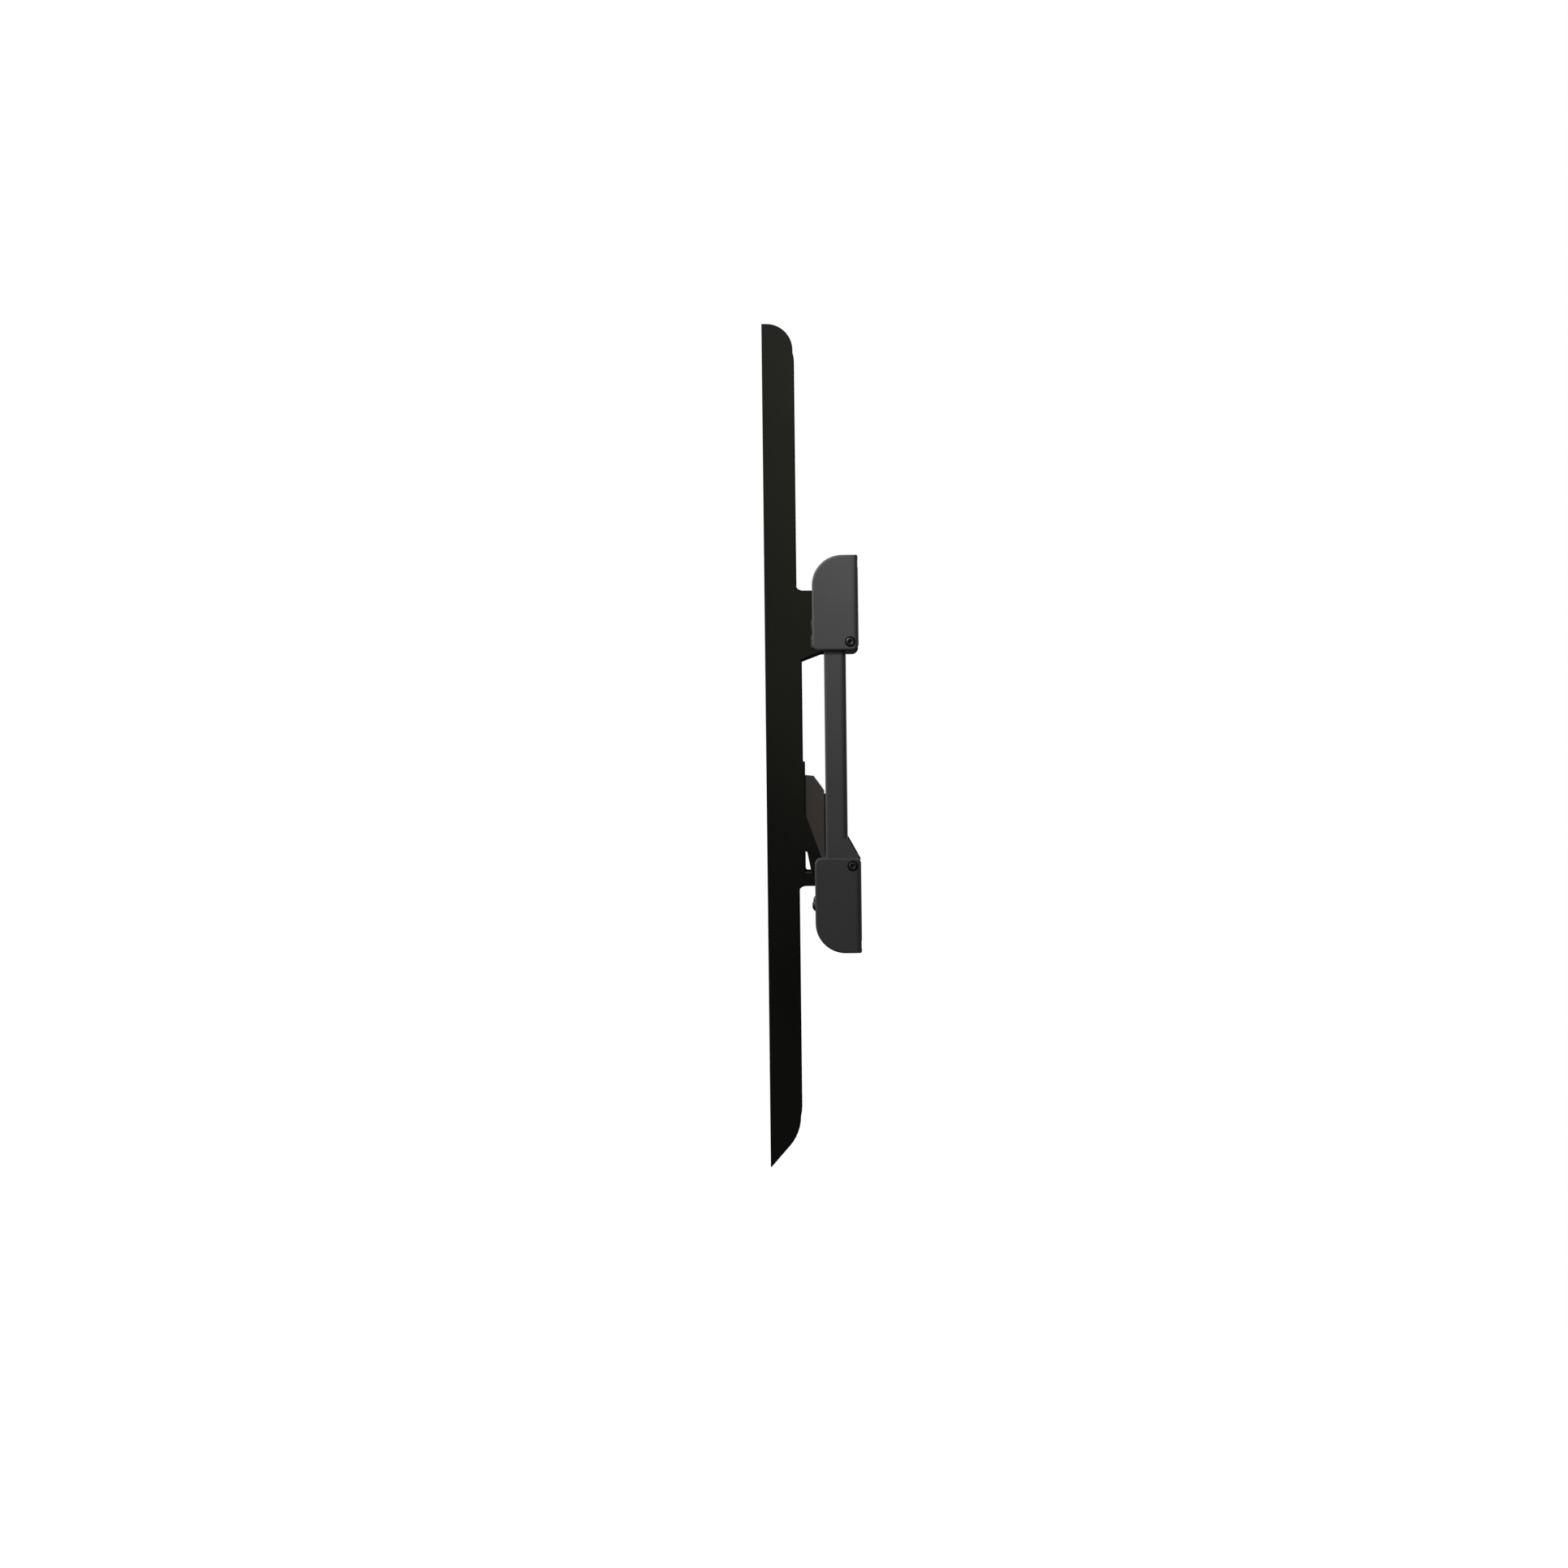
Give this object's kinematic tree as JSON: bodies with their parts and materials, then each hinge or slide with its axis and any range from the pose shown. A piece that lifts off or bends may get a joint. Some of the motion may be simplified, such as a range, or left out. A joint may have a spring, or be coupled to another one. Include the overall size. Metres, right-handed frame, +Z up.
{
  "type": "full motion tv wall mount",
  "caption": "Slim folding television wall mount with dual scissor arms, pan and tilt head, slotted upright brackets and moulded end covers.",
  "frame": {"origin": "centre of the four lag bolt holes, on the wall plane", "axes": "+X along the wall to the right side, -Y out from the wall towards the television, +Z up"},
  "size_m": [0.666, 0.05, 0.45],
  "materials": {
    "frame_paint": "satin",
    "bracket_paint": "satin",
    "yoke_paint": "satin",
    "cap_plastic": "matte",
    "black_plastic": "matte",
    "hook_plastic": "matte",
    "bright_steel": "zinc plated",
    "dark_steel": "black oxide",
    "nylon": "satin",
    "bronze": "sintered"
  },
  "bodies": {
    "wall_plate": {"centre_bracket": "frame_paint", "end_cap_screws": "dark_steel", "left_side_post": "frame_paint", "lower_left_end_cap": "cap_plastic", "lower_right_end_cap": "cap_plastic", "lower_wall_rail": "frame_paint", "right_side_post": "frame_paint", "upper_left_end_cap": "cap_plastic", "upper_right_end_cap": "cap_plastic", "upper_wall_rail": "frame_paint", "wall_pivot_pins": "bright_steel", "wall_pivot_washers": "nylon"},
    "left_inner_arm": {"left_inner_arm": "frame_paint", "left_inner_arm_bushes": "bronze", "left_inner_cable_clip": "black_plastic", "left_elbow_pin": "bright_steel", "left_elbow_washer": "nylon"},
    "left_outer_arm": {"left_outer_arm": "frame_paint", "left_outer_arm_bushes": "bronze", "left_outer_cable_clip": "black_plastic"},
    "left_saddle": {"left_upper_hook": "hook_plastic", "left_lower_hook": "hook_plastic", "left_guide_keys": "bright_steel"},
    "left_bracket": {"left_vesa_bracket": "bracket_paint"},
    "left_knob": {"left_level_knob": "black_plastic"},
    "left_safety": {"left_safety_screw": "dark_steel"},
    "right_inner_arm": {"right_inner_arm": "frame_paint", "right_inner_arm_bushes": "bronze", "right_inner_cable_clip": "black_plastic", "right_elbow_pin": "bright_steel", "right_elbow_washer": "nylon"},
    "right_outer_arm": {"right_outer_arm": "frame_paint", "right_outer_arm_bushes": "bronze", "right_outer_cable_clip": "black_plastic"},
    "right_saddle": {"right_upper_hook": "hook_plastic", "right_lower_hook": "hook_plastic", "right_guide_keys": "bright_steel"},
    "right_bracket": {"right_vesa_bracket": "bracket_paint"},
    "right_knob": {"right_level_knob": "black_plastic"},
    "right_safety": {"right_safety_screw": "dark_steel"},
    "head_carrier": {"head_carrier": "frame_paint", "head_pivot_pins": "bright_steel", "head_pivot_washers": "nylon", "pan_pin": "bright_steel"},
    "pan_head": {"pan_yoke": "yoke_paint", "pan_bushes": "bronze", "tilt_bolts": "bright_steel", "tilt_washers": "nylon"},
    "tilt_frame": {"face_plate": "frame_paint", "upper_tv_rail": "frame_paint", "lower_tv_rail": "frame_paint", "rail_end_plugs": "black_plastic", "left_frame_side": "frame_paint", "right_frame_side": "frame_paint"}
  },
  "joints": [
    {"name": "arm_extend", "type": "hinge", "parent": "wall_plate", "child": "left_inner_arm", "pos_m": [-0.045, -0.0127, 0.0265], "axis": [0, 0, 1], "range_deg": [0, 65]},
    {"name": "left_elbow", "type": "hinge", "parent": "left_inner_arm", "child": "left_outer_arm", "pos_m": [-0.285, -0.0127, 0], "axis": [0, 0, 1], "range_deg": [-130, 0]},
    {"name": "head_swing", "type": "hinge", "parent": "left_outer_arm", "child": "head_carrier", "pos_m": [-0.045, -0.0127, -0.0265], "axis": [0, 0, 1], "range_deg": [0, 65]},
    {"name": "right_shoulder", "type": "hinge", "parent": "wall_plate", "child": "right_inner_arm", "pos_m": [0.045, -0.0127, 0.0265], "axis": [0, 0, 1], "range_deg": [-65, 0]},
    {"name": "right_elbow", "type": "hinge", "parent": "right_inner_arm", "child": "right_outer_arm", "pos_m": [0.285, -0.0127, 0], "axis": [0, 0, 1], "range_deg": [0, 130]},
    {"name": "head_pan", "type": "hinge", "parent": "head_carrier", "child": "pan_head", "pos_m": [0, -0.0243, -0.035], "axis": [0, 0, 1], "range_deg": [-1, 1]},
    {"name": "tilt", "type": "hinge", "parent": "pan_head", "child": "tilt_frame", "pos_m": [0, -0.015, -0.0668], "axis": [1, 0, 0], "range_deg": [0, 10]},
    {"name": "left_rail_slide", "type": "slide", "parent": "tilt_frame", "child": "left_saddle", "axis": [1, 0, 0], "range_m": [-0.004, 0.11]},
    {"name": "left_knob_turn", "type": "hinge", "parent": "left_saddle", "child": "left_knob", "pos_m": [-0.22225, -0.0211, 0.064], "axis": [0, 0, 1], "range_deg": [-577, 577]},
    {"name": "left_level", "type": "slide", "parent": "left_saddle", "child": "left_bracket", "axis": [0, 0, 1], "range_m": [-0.002, 0.002]},
    {"name": "left_safety_screw_travel", "type": "slide", "parent": "left_saddle", "child": "left_safety", "axis": [0, -1, 0], "range_m": [0, 0.012]},
    {"name": "right_rail_slide", "type": "slide", "parent": "tilt_frame", "child": "right_saddle", "axis": [1, 0, 0], "range_m": [-0.11, 0.004]},
    {"name": "right_knob_turn", "type": "hinge", "parent": "right_saddle", "child": "right_knob", "pos_m": [0.22225, -0.0211, 0.064], "axis": [0, 0, 1], "range_deg": [-577, 577]},
    {"name": "right_level", "type": "slide", "parent": "right_saddle", "child": "right_bracket", "axis": [0, 0, 1], "range_m": [-0.002, 0.002]},
    {"name": "right_safety_screw_travel", "type": "slide", "parent": "right_saddle", "child": "right_safety", "axis": [0, -1, 0], "range_m": [0, 0.012]}
  ],
  "couplings": [
    {"joint": "left_elbow", "follows": "arm_extend", "ratio": -2},
    {"joint": "head_swing", "follows": "arm_extend", "ratio": 1},
    {"joint": "right_shoulder", "follows": "arm_extend", "ratio": -1},
    {"joint": "right_elbow", "follows": "arm_extend", "ratio": 2},
    {"joint": "left_knob_turn", "follows": "left_level", "rad_per_m": 5026.5},
    {"joint": "right_knob_turn", "follows": "right_level", "rad_per_m": 5026.5}
  ]
}
